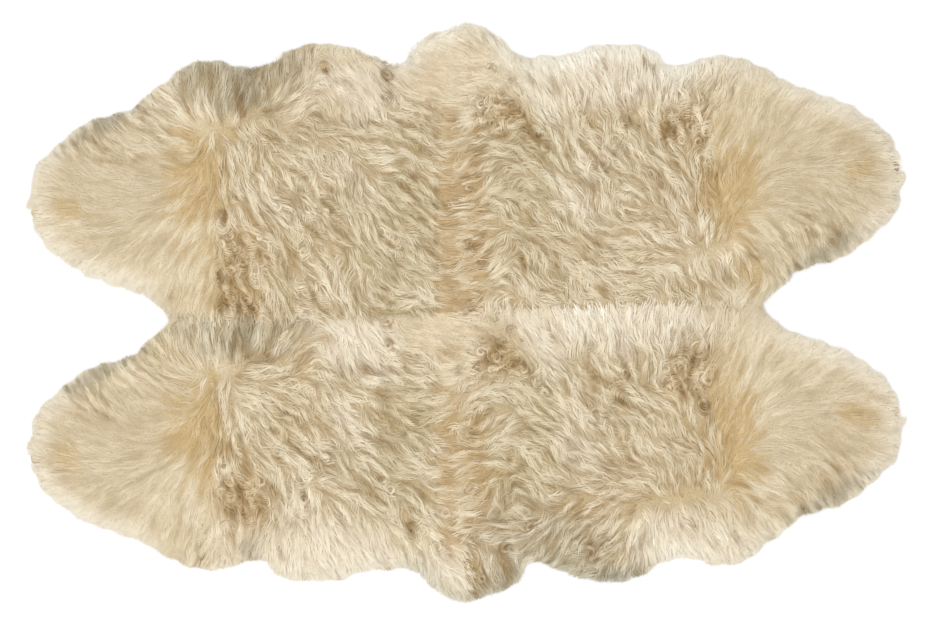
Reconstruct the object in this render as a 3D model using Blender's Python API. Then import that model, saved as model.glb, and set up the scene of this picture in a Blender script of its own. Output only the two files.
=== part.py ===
"""A sheepskin rug of four pelts, sewn side by side and end to end, lying flat with its wool up.

Metres, +Z up. X runs along the pelts, from the left pair to the right pair, and Y across them, from
front to back. The origin is on the floor, where the four pelts meet. Each pelt, hide and wool
together, is one closed solid: flat underneath, with a lumpy pile above that stands lower along the
seams, thins out towards the free rim and ends there in locks that lie on the floor.
"""

import math
from collections import namedtuple

import bpy
from mathutils import Vector, kdtree, noise
from mathutils.geometry import delaunay_2d_cdt

# Sizes of the pile
PILE_HEIGHT = 0.047  # from the floor to the middle of the locks' tops
RIM_HEIGHT = 0.007  # of the last locks, at the free rim
SHOULDER = 0.085  # from the free rim to where the pile stands at its full height
SEAM_DIP = 0.16  # the share of its height that the pile loses over a seam
SEAM_REACH = 0.028  # how far from a seam the pile leans into it
SWELL = 0.009  # rise and fall of the pile from one broad tuft to the next
SWELL_SIZE = 0.130
TUFT = 0.009  # and from one lock to the next
TUFT_SIZE = 0.055
FLOW = math.radians(-38)  # the way that the locks lie, seen from above
STRETCH = 1.7  # a tuft's length along the flow, over its width

# Locks round the rim
LOCK_DEPTH = 0.013  # from the bottom of a gap to the tip of a full lock
LOCK_STEP = 0.0165  # between points along the rim
LOCK_FORM = (0.0, 0.75, 1.0)  # how far out each point of a lock stands
LOCK_SHARE, LOCK_SPREAD = 0.55, 0.45  # the usual lock's share of the full depth, and its give or take
LOCK_FADE = 0.070  # locks die away over this length where a rim meets a seam

# Seams
SEAM_GAP = 0.0003  # between two pelts
SEAM_STEP = 0.032  # between points along a seam
NOTCH_REACH = 0.611  # from the middle of the rug to the notch between two lobes
NOTCH_SIDE = -0.019  # where the left notch lies across the rug

SPAN_POINTS = 8  # of the smooth curve, between two points of an outline

# Points of the pile's mesh
INSETS = (0.007, 0.022)  # two lines that follow the rim, this far inside it
CROWDED = 0.75  # a point of theirs is left out where it is nearer to the rim than this share
GRID_STEP = 0.0205  # between points in the field of the pile
GRID_CLEAR = 0.033  # from the outline to the nearest of them
JITTER = 0.22  # how far a point strays from its row, as a share of the step

WOOL_COLOUR = (0.72, 0.59, 0.41, 1.0)
WOOL_ROUGHNESS = 0.92
WOOL_SHEEN = 0.35

# The lobe at a pelt's free end, from its back shoulder round the tip to its front shoulder.
# reach: from the middle seam, along the rug. side: from the tip's own line, towards the back.
Lobe = namedtuple("Lobe", "reach side")
LOBE = (
    Lobe(0.670, 0.228),
    Lobe(0.690, 0.205),
    Lobe(0.743, 0.188),
    Lobe(0.781, 0.178),
    Lobe(0.812, 0.160),
    Lobe(0.845, 0.132),
    Lobe(0.876, 0.104),
    Lobe(0.900, 0.076),
    Lobe(0.904, 0.035),
    Lobe(0.917, 0.000),
    Lobe(0.903, -0.028),
    Lobe(0.888, -0.064),
    Lobe(0.864, -0.092),
    Lobe(0.839, -0.110),
    Lobe(0.799, -0.138),
    Lobe(0.766, -0.150),
    Lobe(0.724, -0.165),
    Lobe(0.676, -0.182),
    Lobe(0.643, -0.202),
)
BACK_LOBE_LINE = 0.221  # where the back left pelt's tip lies across the rug
LOBE_SPACING = 0.515  # from there to the front left pelt's tip

# A pelt's long side, from the lobe to the middle seam.
# reach: from the middle seam, along the rug. across: from the middle of the rug, towards the back.
Side = namedtuple("Side", "reach across")
BACK_SIDE = (
    Side(0.650, 0.463),
    Side(0.622, 0.482),
    Side(0.600, 0.504),
    Side(0.560, 0.522),
    Side(0.507, 0.523),
    Side(0.484, 0.512),
    Side(0.442, 0.510),
    Side(0.405, 0.518),
    Side(0.380, 0.538),
    Side(0.328, 0.559),
    Side(0.259, 0.555),
    Side(0.194, 0.535),
    Side(0.140, 0.513),
    Side(0.122, 0.532),
    Side(0.110, 0.557),
    Side(0.088, 0.574),
    Side(0.045, 0.588),
    Side(0.000, 0.604),
)
FRONT_SIDE = (
    Side(0.607, -0.515),
    Side(0.563, -0.530),
    Side(0.518, -0.534),
    Side(0.474, -0.522),
    Side(0.440, -0.513),
    Side(0.415, -0.517),
    Side(0.399, -0.537),
    Side(0.376, -0.553),
    Side(0.286, -0.558),
    Side(0.250, -0.551),
    Side(0.217, -0.537),
    Side(0.165, -0.534),
    Side(0.127, -0.529),
    Side(0.094, -0.547),
    Side(0.071, -0.570),
    Side(0.040, -0.592),
    Side(0.000, -0.604),
)

# The pelts. rim: its free rim's points. front: whether it lies in front of the long seam.
# turned: the node that is this pelt again, turned half round the middle of the rug.
Pelt = namedtuple("Pelt", "node turned rim front")


def seam_across(x):
    """Where the long seam lies across the rug, at a point along it."""
    return -x * NOTCH_SIDE / NOTCH_REACH


def lobe_points(line):
    """The lobe's rim, from back to front, with its tip on a line across the rug."""
    return [Vector((-p.reach, line + p.side)) for p in LOBE]


def side_points(side):
    return [Vector((-p.reach, p.across)) for p in side]


def left_pelts():
    """The two left pelts, each rim running anticlockwise seen from above."""
    back_line, front_line = BACK_LOBE_LINE, BACK_LOBE_LINE - LOBE_SPACING
    notch = Vector((-NOTCH_REACH, NOTCH_SIDE))
    back_rim = side_points(BACK_SIDE)[::-1] + lobe_points(back_line) + [notch]
    front_rim = [notch] + lobe_points(front_line) + side_points(FRONT_SIDE)
    return (
        Pelt("pelt_back_left", "pelt_front_right", back_rim, False),
        Pelt("pelt_front_left", "pelt_back_right", front_rim, True),
    )


def smooth_line(points, step):
    """Points an even step apart along a smooth curve through the given ones."""
    padded = [2 * points[0] - points[1], *points, 2 * points[-1] - points[-2]]
    fine = []
    for before, start, end, after in zip(padded, padded[1:], padded[2:], padded[3:]):
        for k in range(SPAN_POINTS):
            t = k / SPAN_POINTS
            fine.append(
                start
                + (end - before) * (t * (1 - t) ** 2 / 2)
                + (end - start) * (t * t * (3 - 2 * t))
                - (after - start) * (t * t * (1 - t) / 2)
            )
    return even_line(fine + [points[-1]], step)


def even_line(points, step):
    """Points an even step apart along straight runs, with the first and last ones kept."""
    along = [0.0]
    for a, b in zip(points, points[1:]):
        along.append(along[-1] + (b - a).length)
    count = max(1, round(along[-1] / step))
    line, run = [], 0
    for k in range(count + 1):
        at = along[-1] * k / count
        while run < len(points) - 2 and along[run + 1] < at:
            run += 1
        share = (at - along[run]) / (along[run + 1] - along[run])
        line.append(points[run].lerp(points[run + 1], min(1.0, share)))
    return line


def with_locks(line):
    """The rim pushed out and in by its locks, each of them as long as its own share of the depth."""
    moved, last = [], len(line) - 1
    for k, point in enumerate(line):
        along = line[min(k + 1, last)] - line[max(k - 1, 0)]
        outward = Vector((along.y, -along.x)).normalized()
        lock, phase = divmod(k, len(LOCK_FORM))
        share = LOCK_SHARE + LOCK_SPREAD * noise.noise((lock + 0.5, point.x, point.y))
        fade = min(1.0, min(k, last - k) * LOCK_STEP / LOCK_FADE)
        out = LOCK_DEPTH * share * fade * (LOCK_FORM[phase] - 0.5)
        moved.append(point + outward * out)
    return moved


def seam_points(pelt):
    """A pelt's two sewn edges, from where its rim ends back to where it begins, half a gap inside."""
    half = SEAM_GAP / 2 * (-1 if pelt.front else 1)
    middle = Vector((-SEAM_GAP / 2, half))
    notch = Vector((-NOTCH_REACH, NOTCH_SIDE + half))
    outer = Vector((-SEAM_GAP / 2, pelt.rim[-1 if pelt.front else 0].y))
    long_seam = even_line([notch, middle], SEAM_STEP)
    cross_seam = even_line([middle, outer], SEAM_STEP)
    ring = long_seam[:-1] + cross_seam
    return ring[::-1] if pelt.front else ring


def seam_distance(x, y):
    """How far a point is from the nearest seam."""
    to_cross = abs(x)
    past_notch = max(0.0, abs(x) - NOTCH_REACH)
    to_long = math.hypot(y - seam_across(x), past_notch)
    return min(to_cross, to_long)


def lumps(x, y):
    """The height that broad tufts and single locks add to the pile or take from it."""
    along = x * math.cos(FLOW) + y * math.sin(FLOW)
    beside = y * math.cos(FLOW) - x * math.sin(FLOW)
    broad = noise.noise((x / SWELL_SIZE, y / SWELL_SIZE, 0))
    fine = noise.noise((along / (TUFT_SIZE * STRETCH), beside / TUFT_SIZE, 0))
    return SWELL * broad + TUFT * fine


def pile_height(x, y, from_rim):
    """The top of the pile over a point, given how far the free rim is."""
    share = min(1.0, from_rim / SHOULDER)
    dome = math.sqrt(1 - (1 - share) ** 2)
    lean = math.exp(-((seam_distance(x, y) / SEAM_REACH) ** 2))
    smooth = RIM_HEIGHT + (PILE_HEIGHT - RIM_HEIGHT) * dome * (1 - SEAM_DIP * lean)
    return smooth + lumps(x, y) * dome * (1 - lean)


def nearest_to(line):
    """A search tree of a line's points."""
    tree = kdtree.KDTree(len(line))
    for k, point in enumerate(line):
        tree.insert((point.x, point.y, 0), k)
    tree.balance()
    return tree


def distance(tree, point):
    return tree.find((point.x, point.y, 0))[2]


def is_inside(point, outline):
    """Whether a point lies within a closed outline."""
    crossings = 0
    for a, b in zip(outline, outline[1:] + outline[:1]):
        if (a.y > point.y) != (b.y > point.y):
            share = (point.y - a.y) / (b.y - a.y)
            crossings += point.x < a.x + share * (b.x - a.x)
    return crossings % 2 == 1


def inset_points(outline, depth):
    """A point inside each of the outline's, this far from it, but for those that its bends crowd."""
    tree, points = nearest_to(outline), []
    befores, afters = outline[-1:] + outline[:-1], outline[1:] + outline[:1]
    for before, point, after in zip(befores, outline, afters):
        along = (after - before).normalized()
        moved = point + Vector((-along.y, along.x)) * depth
        if distance(tree, moved) > CROWDED * depth and is_inside(moved, outline):
            points.append(moved)
    return points


def field_points(outline):
    """Staggered rows of points over the field of a pelt."""
    tree, points = nearest_to(even_line(outline + outline[:1], GRID_STEP / 2)), []
    row_step = GRID_STEP * math.sqrt(3) / 2
    low_y, high_y = min(p.y for p in outline), max(p.y for p in outline)
    low_x, high_x = min(p.x for p in outline), max(p.x for p in outline)
    for row in range(int((high_y - low_y) / row_step)):
        for column in range(int((high_x - low_x) / GRID_STEP)):
            stray = noise.cell_vector((column + 0.5, row + 0.5, 0.5)) - Vector((0.5, 0.5, 0.5))
            x = low_x + GRID_STEP * (column + row % 2 / 2 + 2 * JITTER * stray.x)
            y = low_y + row_step * (row + 2 * JITTER * stray.y)
            point = Vector((x, y))
            if distance(tree, point) > GRID_CLEAR and is_inside(point, outline):
                points.append(point)
    return points


def pelt_mesh(pelt):
    """One pelt: a flat underside, a low wall round its outline, and the pile over them."""
    smooth_rim = smooth_line(pelt.rim, LOCK_STEP)
    rim_tree = nearest_to(smooth_rim)
    rim = with_locks(smooth_rim)[1:-1]
    outline = rim + seam_points(pelt)
    around = len(outline)
    flat = list(outline)
    for depth in INSETS:
        flat += inset_points(outline, depth)
    flat += field_points(outline)
    flat, _, triangles, origins, _, _ = delaunay_2d_cdt(flat, [], [range(around)], 1, 1e-6)

    corners = [(point.x, point.y, 0.0) for point in outline]
    for point, origin in zip(flat, origins):
        height = RIM_HEIGHT
        if origin[0] >= len(rim):
            height = pile_height(point.x, point.y, distance(rim_tree, point))
        corners.append((point.x, point.y, height))
    on_top = {origin[0]: around + k for k, origin in enumerate(origins)}

    faces = [tuple(reversed(range(around)))]
    for k in range(around):
        after = (k + 1) % around
        faces.append((k, after, on_top[after], on_top[k]))
    faces += [tuple(around + k for k in triangle) for triangle in triangles]

    mesh = bpy.data.meshes.new(pelt.node)
    mesh.from_pydata(corners, [], faces)
    mesh.shade_smooth()
    return mesh


def wool_material():
    material = bpy.data.materials.new("wool")
    material.use_nodes = True
    shader = material.node_tree.nodes["Principled BSDF"]
    shader.inputs["Base Color"].default_value = WOOL_COLOUR
    shader.inputs["Roughness"].default_value = WOOL_ROUGHNESS
    shader.inputs["Sheen Weight"].default_value = WOOL_SHEEN
    shader.inputs["Metallic"].default_value = 0.0
    return material


def add_object(name, mesh, half_turns):
    pelt = bpy.data.objects.new(name, mesh)
    pelt.rotation_euler.z = half_turns * math.pi
    bpy.context.scene.collection.objects.link(pelt)


def main():
    for obj in list(bpy.data.objects):
        bpy.data.objects.remove(obj, do_unlink=True)
    wool = wool_material()
    for pelt in left_pelts():
        mesh = pelt_mesh(pelt)
        mesh.materials.append(wool)
        add_object(pelt.node, mesh, 0)
        add_object(pelt.turned, mesh, 1)


main()
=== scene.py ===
"""Looks of a rug of four joined sheepskins: long wool, undercoat, hides and seams.

Metres, +Z up. The wool is combed by short tables: each row says where the wool
lies and which way its tips point, read off the photo.
"""
import math
from collections import namedtuple

import bmesh
import bpy
import numpy as np
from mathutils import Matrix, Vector
from mathutils.bvhtree import BVHTree
from mathutils.geometry import delaunay_2d_cdt
from mathutils.kdtree import KDTree


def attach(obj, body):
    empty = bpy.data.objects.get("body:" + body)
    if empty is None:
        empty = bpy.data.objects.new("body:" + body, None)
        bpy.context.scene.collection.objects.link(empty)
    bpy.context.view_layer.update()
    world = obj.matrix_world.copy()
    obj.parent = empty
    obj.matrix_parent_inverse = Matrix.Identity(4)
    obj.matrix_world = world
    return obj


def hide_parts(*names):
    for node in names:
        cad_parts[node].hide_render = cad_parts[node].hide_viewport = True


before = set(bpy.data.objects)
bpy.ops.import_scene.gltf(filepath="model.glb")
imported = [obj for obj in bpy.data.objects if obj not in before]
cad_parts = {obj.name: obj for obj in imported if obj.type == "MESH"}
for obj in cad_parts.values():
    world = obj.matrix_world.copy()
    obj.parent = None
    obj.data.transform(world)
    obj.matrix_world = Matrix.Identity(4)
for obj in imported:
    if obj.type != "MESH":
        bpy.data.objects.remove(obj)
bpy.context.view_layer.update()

# ---------------------------------------------------------------- the photo's scale
PX = 0.002087                 # metres that one pixel of the photo shows
ORIGIN_PX = (466.0, 313.0)    # the pixel above the rug's origin
CAMERA_PX = (470.0, 317.5)    # the middle of the picture
PICTURE_WIDTH = 940 * PX

# ---------------------------------------------------------------- the pelts
# The front pelts repeat the back ones this many pixels lower in the photo. The
# right pelts repeat the left ones' outer parts, turned round a point.
FRONT_DOWN = 246
TURN_PX = (464.0, 189.5)
Pelt = namedtuple("Pelt", "node side end seed")
PELTS = (
    Pelt("pelt_back_left", "left", "back", 11),
    Pelt("pelt_front_left", "left", "front", 23),
    Pelt("pelt_back_right", "right", "back", 37),
    Pelt("pelt_front_right", "right", "front", 53),
)
# Between these columns, the photo shows some rows of the back pelts again a little
# lower, and each pelt's front edge is its own from a row on.
SHARED_X = (190, 745)
REPEATED_Y = (214, 258)
REPEAT_DOWN = 62
OWN_FROM = {"back": 280, "front": 269}
SEAM_SLOPE = 0.0311           # the long seam's slope across the rug
NOTCH_REACH = 0.611           # from the middle to where the long seam ends

# ---------------------------------------------------------------- combing
# Rows: x and y in px, then the heading of the wool's tips in degrees, 0 to the
# right and 90 to the back. Rows for "every" pelt are in the back left one's
# place, rows for "left" or "right" in the back one's, and others in their own. A
# set's reach (px) and weight say how far and how strongly its rows comb the wool,
# and its wave how wavy that wool is, from 0 to 1.
CombSet = namedtuple("CombSet", "pelts reach weight wave rows")

COMB_SETS = (
    CombSet("every", 20, 1.0, 0.10, (
        # the outer lobe
        (45, 175, 165), (60, 168, 145), (70, 185, 143), (90, 190, 142), (110, 190, 146),
        (130, 187, 148), (150, 180, 170), (45, 200, 178), (60, 200, 172), (70, 212, 178),
        (90, 210, 170), (100, 215, 177), (120, 205, 172), (130, 200, 172), (150, 205, 195),
        (170, 152, 155), (175, 165, 165), (170, 180, 196), (185, 182, 232), (172, 198, 232),
        (175, 215, 235), (195, 210, 235), (190, 230, 240), (60, 230, 186), (80, 225, 181),
        (100, 225, 184), (120, 225, 190), (110, 245, 213), (130, 240, 212), (80, 250, 205),
        (95, 252, 212), (150, 235, 225), (165, 250, 240), (180, 250, 238), (140, 265, 222),
        (155, 270, 245), (100, 270, 212), (120, 285, 220), (130, 270, 225), (150, 290, 230),
        (180, 270, 248), (200, 260, 245), (210, 240, 250), (175, 290, 245),
    )),
    CombSet("every", 15, 1.2, 0.34, (
        # the lobe's back rim, and the gold wool where the lobe begins
        (60, 150, 140), (80, 135, 120), (80, 150, 130), (100, 140, 115), (100, 160, 138),
        (120, 130, 125), (120, 150, 130), (140, 140, 135), (140, 157, 150), (85, 170, 137),
        (115, 170, 147), (160, 140, 148), (160, 120, 138), (150, 128, 135), (185, 110, 130),
        (180, 130, 155), (200, 107, 100), (225, 115, 85), (208, 150, 250), (205, 180, 262),
        (205, 165, 258), (215, 180, -60), (180, 140, 160), (205, 215, 252), (212, 200, 260),
    )),
    CombSet("left", 15, 1.0, 0.44, (
        # the back rim beside the lobe
        (190, 80, 100), (215, 85, 92), (240, 90, 82), (260, 90, 85), (275, 80, 75), (290, 75, 68),
        (285, 100, 57), (305, 100, 55), (300, 110, 50), (235, 110, 88),
    )),
    CombSet("every", 14, 1.3, 0.45, (
        # long streaks that lie well combed in the middle of the pelt
        (225, 165, -88), (230, 185, -80), (222, 140, -85), (240, 165, -60), (240, 180, -58),
        (250, 170, -60), (250, 185, -55), (258, 190, -65), (245, 200, -60), (250, 210, -65),
        (262, 180, -65), (265, 195, -45), (240, 215, -70), (265, 215, -45), (275, 222, -45),
        (285, 232, -55), (258, 222, -40), (270, 235, -60), (280, 250, -60), (265, 250, -85),
        (275, 265, -95), (320, 170, -40), (330, 175, -42), (340, 170, -50), (350, 180, -50),
        (345, 195, -40), (335, 205, -30), (330, 225, -45), (345, 235, -38), (350, 215, -80),
        (355, 225, -80), (365, 235, -70), (375, 240, -40), (380, 252, -50), (395, 215, -50),
        (385, 200, -45), (375, 210, -38), (310, 225, -45), (315, 235, -50), (262, 272, 240),
    )),
    CombSet("every", 15, 1.0, 0.85, (
        # the middle of the pelt
        (320, 130, -10), (310, 140, -18), (330, 150, -32), (345, 170, -52), (355, 190, -55),
        (225, 150, -80), (245, 140, -45), (240, 160, -65), (255, 170, -60), (235, 180, -70),
        (250, 190, -60), (270, 130, -30), (280, 150, -50), (290, 160, -10), (265, 215, -50),
        (275, 235, -55), (290, 255, -65), (300, 260, -75), (275, 262, -85), (280, 265, -90),
        (330, 235, -35), (345, 235, -35), (330, 260, -85), (345, 260, -80), (365, 225, -80),
        (375, 250, -50), (390, 260, -60), (352, 207, -70), (320, 200, -40), (300, 185, -60),
        (230, 215, -70), (225, 250, -75), (250, 240, -60), (215, 285, 260), (240, 290, -80),
        (265, 290, -75), (300, 290, -60), (335, 290, -55), (370, 290, -50), (305, 225, -45),
    )),
    CombSet("left", 14, 1.6, 0.38, (
        # the cream patch, whose locks lie over the wool in front of them
        (330, 75, -48), (350, 70, -57), (370, 80, -62), (360, 105, -57), (330, 105, -60),
        (345, 90, -55), (385, 95, -60), (350, 116, -60), (310, 70, 88), (345, 48, 118), (375, 46, 120),
        (395, 70, -70),
    )),
    CombSet("left", 14, 1.6, 0.75, (
        # towards the seam between the left and the right pelts
        (370, 150, -15), (390, 145, -25), (380, 170, -10), (420, 120, -32), (410, 150, -10),
        (425, 140, -25), (415, 190, -25), (430, 200, -45), (420, 215, -35), (410, 235, -10),
        (425, 250, -50), (430, 270, -50), (420, 290, -25), (400, 205, -25), (385, 195, -30),
        (432, 152, -35), (430, 112, -50), (410, 128, -12), (415, 170, -35), (430, 165, -30),
    )),
    CombSet("left", 14, 1.6, 0.20, (
        # the peach wool of the bump, and the tan wool beside the seam
        (430, 50, -22), (415, 75, -15), (425, 85, -25), (450, 45, -30), (455, 70, -5), (440, 80, -10),
        (430, 100, 0), (460, 105, -5), (450, 95, -15), (460, 60, -20), (452, 32, -45), (412, 55, -20),
        (450, 130, 10), (450, 145, 18), (455, 158, 25), (450, 172, 8), (455, 181, 30), (450, 200, -5),
        (450, 215, 0), (450, 235, 0), (452, 250, -8), (450, 275, -4), (455, 290, 4), (462, 120, -10),
    )),
    CombSet("right", 14, 1.6, 0.25, (
        # the bump's right part, and the tan wool beside the seam
        (475, 60, 160), (480, 90, 170), (470, 45, 150), (490, 40, 125), (480, 35, 122), (486, 50, 140),
        (505, 62, 108), (512, 55, 100), (516, 72, 115), (526, 80, 120), (530, 92, 125),
        (536, 110, 115), (541, 126, 110), (550, 100, 118), (540, 70, 105), (560, 62, 110),
        (475, 75, 178), (480, 215, 180), (472, 230, 178), (472, 200, 182), (475, 280, 180),
        (472, 262, 184),
    )),
    CombSet("right", 14, 2.4, 0.33, (
        # the ivory wool on the back rim
        (570, 85, 118), (590, 80, 110), (608, 75, 100), (628, 85, 93), (650, 80, 85), (678, 77, 83),
        (698, 75, 83), (723, 95, 75), (628, 55, 92), (578, 50, 108), (678, 55, 83), (608, 105, 108),
        (648, 105, 95), (565, 110, 118),
    )),
    CombSet("right", 14, 1.6, 0.75, (
        # towards the seam between the left and the right pelts
        (470, 124, 212), (485, 130, 215), (500, 125, 235), (512, 130, 250), (480, 145, 200),
        (472, 157, 210), (490, 165, 240), (503, 175, 222), (512, 188, 230), (490, 195, 215),
        (484, 206, 210), (500, 205, 160), (520, 160, 150), (535, 170, 130), (535, 195, 150),
        (525, 205, 145), (520, 215, 135), (532, 225, 150), (520, 240, 135), (531, 250, 130),
        (540, 180, 155), (545, 230, 155), (540, 280, 150), (510, 150, 172), (490, 245, 240),
        (480, 236, 215), (485, 262, 225), (495, 260, 245), (503, 255, 268), (512, 245, 300),
        (520, 275, 140), (500, 285, 245), (487, 285, 220), (528, 140, 125),
    )),
    CombSet("right", 12, 2.0, 0.45, (
        # beside the right lobe
        (695, 262, -52), (705, 262, -50), (715, 266, -52), (728, 265, -72), (695, 276, -60),
        (710, 276, -55), (736, 274, -68), (745, 272, -115),
    )),
    CombSet("pelt_back_right", 12, 2.0, 0.45, (
        # the front edge beside the right lobe
        (702, 290, -88), (712, 296, -85), (704, 304, -68), (722, 288, -88), (724, 301, -78),
        (729, 313, -55), (745, 290, 188), (750, 304, 230), (757, 299, 232), (712, 314, -52),
    )),
    CombSet("pelt_front_left", 14, 2.4, 0.35, (
        # the ivory wool on the front rim
        (230, 550, -97), (250, 548, -97), (270, 545, -100), (290, 550, -92), (300, 540, -87),
        (320, 550, -80), (340, 545, -70), (360, 540, -60), (380, 530, -60), (400, 545, -62),
        (430, 570, -62), (450, 580, -65), (280, 520, -90), (320, 520, -75), (205, 530, -105),
        (455, 590, -66), (300, 575, -88), (350, 575, -72), (400, 585, -66), (250, 575, -97),
        (440, 560, -60), (460, 575, -62), (445, 530, -20), (450, 515, -5), (195, 525, 235),
        (205, 540, 245), (215, 550, 252), (200, 556, 250), (230, 552, 262),
    )),
    CombSet("pelt_front_right", 14, 2.4, 0.33, (
        # the ivory wool on the front rim
        (640, 540, -80), (650, 520, -72), (665, 530, -72), (680, 540, -75), (700, 520, -60),
        (720, 530, -60), (740, 540, -55), (760, 530, -50), (690, 510, -50), (730, 510, -55),
        (630, 560, -80), (645, 568, -70),
    )),
    CombSet("pelt_front_right", 14, 2.4, 0.55, (
        # the olive wool beside it
        (610, 566, -92), (620, 575, -90), (625, 548, 255), (615, 525, 228), (516, 518, 162),
        (492, 544, 160), (600, 540, 225), (545, 540, 225), (556, 545, 245), (530, 548, 205),
        (520, 532, 190), (570, 562, 200), (590, 566, 195), (562, 528, 255), (485, 570, -62),
        (500, 575, -60), (510, 558, -50), (475, 590, -65), (480, 545, -40), (475, 525, 185),
        (490, 530, 180), (580, 530, 215), (580, 548, 220),
    )),
)


def table(kind, groups):
    """The rows of a table, each with the pelts that it is for."""
    return [kind(pelts, *row) for pelts, rows in groups.items() for row in rows]


# Curly places: x, y, reach (px) and how far (degrees) a lock turns along its length.
Curl = namedtuple("Curl", "pelts x y reach turn")
CURLS = table(Curl, {
    "every": (
        (245, 250, 24, 300), (225, 218, 9, 330), (300, 175, 14, 200), (305, 225, 16, 220),
        (303, 255, 8, 300), (383, 233, 7, 320), (390, 245, 6, 320), (330, 205, 11, 200),
    ),
    "left": (
        (325, 68, 8, 240), (340, 84, 9, 180), (388, 75, 7, 300), (388, 99, 7, 300), (445, 70, 6, 200),
        (417, 115, 6, 220), (450, 208, 6, 220), (450, 270, 6, 220),
    ),
    "right": (
        (500, 110, 22, 240), (494, 70, 11, 240), (509, 84, 9, 260), (520, 122, 9, 260),
        (468, 188, 7, 200), (470, 244, 7, 200),
    ),
    "pelt_back_left": (
        (240, 300, 18, 220),
    ),
    "pelt_front_left": (
        (410, 528, 9, 260), (438, 547, 8, 260),
    ),
    "pelt_front_right": (
        (470, 568, 9, 260), (595, 552, 14, 180), (530, 526, 7, 240), (510, 548, 7, 240),
    ),
})

# Curls that lie open on the wool: middle and reach (px), where the lock begins
# round the middle (degrees) and how far it turns from there to its tip.
Ringlet = namedtuple("Ringlet", "pelts x y reach start turn")
RINGLETS = table(Ringlet, {
    "every": (
        (225, 221, 9, 120, -330), (232, 236, 6, 180, 260), (247, 238, 6, 200, 380),
        (244, 262, 6, 200, 300), (255, 246, 5, 240, 260), (232, 273, 10, 190, -230),
        (260, 236, 6, 20, -240), (238, 250, 6, 300, 250), (262, 257, 6, 60, 220),
        (223, 245, 6, 160, -230), (279, 206, 7, 150, 230), (304, 253, 6, 90, 400),
        (326, 213, 8, 190, -230), (383, 233, 6, 150, -400), (391, 244, 6, 120, -300),
    ),
    "left": (
        (388, 75, 6, 200, 330), (388, 99, 6, 20, -330), (445, 206, 6, 80, -300),
        (446, 270, 6, 80, -300),
    ),
    "right": (
        (491, 72, 7, 110, -220), (511, 84, 5, 40, 240), (522, 95, 5, 100, -330),
        (514, 107, 6, 120, -270), (502, 106, 5, 60, 260), (523, 124, 5, 90, -330),
        (536, 133, 7, 190, -220), (481, 106, 6, 90, 300), (483, 92, 6, 200, 240),
        (500, 94, 6, 320, -240), (508, 118, 6, 210, 260), (496, 112, 5, 10, -260),
        (519, 112, 6, 270, 230), (479, 122, 6, 150, -220), (492, 124, 6, 30, 240),
        (469, 188, 5, 60, 300), (470, 244, 5, 60, 300), (527, 265, 6, 150, -220),
    ),
    "pelt_front_left": (
        (232, 527, 10, 190, -220), (411, 530, 7, 100, 360), (437, 547, 6, 100, -300),
        (447, 512, 6, 180, 260),
    ),
    "pelt_front_right": (
        (468, 566, 7, 100, -360), (482, 578, 6, 40, 300), (506, 548, 7, 80, 300),
        (530, 526, 7, 20, 300), (590, 550, 8, 190, -240), (606, 546, 6, 60, 260),
        (575, 545, 7, 190, -230),
    ),
})

# ---------------------------------------------------------------- colours
COLOURS = {
    "ivory": (240, 231, 212), "cream": (228, 215, 187), "sand": (212, 194, 158),
    "straw": (206, 189, 157), "tan": (190, 159, 110), "gold": (200, 173, 124),
    # brown also paints the shade in the creases between locks, and olive mostly paints the shade along
    # the rims
    "brown": (142, 111, 66), "olive": (141, 136, 115), "peach": (226, 209, 179),
    # pale: paler tips, partly their own colour and partly painted highlight; root: the painted shade
    # at the roots and in dark streaks
    "moss": (204, 191, 154), "pale": (226, 216, 193), "root": (170, 136, 78),
    "white": (244, 238, 222),
}
HIDE_COLOUR = (226, 207, 174)
THREAD_COLOUR = (226, 214, 186)
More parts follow.
